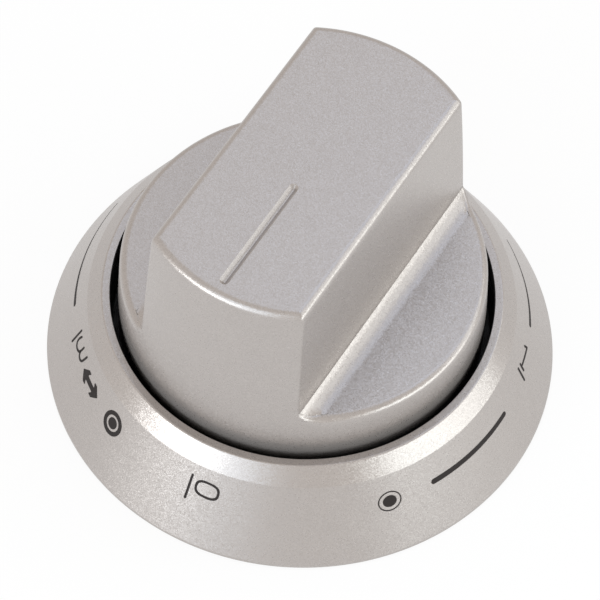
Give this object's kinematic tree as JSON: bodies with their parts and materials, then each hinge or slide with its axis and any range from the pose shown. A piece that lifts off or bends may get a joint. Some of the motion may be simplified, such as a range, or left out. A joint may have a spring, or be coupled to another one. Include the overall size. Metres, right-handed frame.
{
  "type": "cooker selector knob",
  "caption": "Bar-grip selector knob on a round disc, turning in a flared dial ring, with a D-shaped spindle socket underneath.",
  "frame": {"origin": "centre of the dial ring's foot, on the panel's surface", "axes": "+Z out of the panel along the turning axis; the pointer end of the grip is towards -Y at rest; +X is to the right as seen from above with the pointer pointing down"},
  "size_m": [0.062, 0.062, 0.039],
  "materials": {
    "silver_paint": "fine metallic silver paint, satin",
    "black_plastic": "matt black moulding",
    "gasket_rubber": "soft matt rubber",
    "spring_steel": "bright drawn wire and strip",
    "washer_nylon": "natural nylon",
    "bush_steel": "machined, dull"
  },
  "bodies": {
    "dial": {"dial_ring": "silver_paint", "ring_carrier": "black_plastic", "base_gasket": "gasket_rubber", "seat_spring": "spring_steel", "slip_washer": "washer_nylon"},
    "knob": {"knob_shell": "silver_paint", "shaft_bush": "bush_steel", "spindle_clip": "spring_steel", "stem_circlip": "spring_steel"}
  },
  "joints": [
    {"name": "knob_turn", "type": "hinge", "parent": "dial", "child": "knob", "pos_m": [0, 0, 0.01], "axis": [0, 0, 1], "range_deg": [0, 336]}
  ]
}
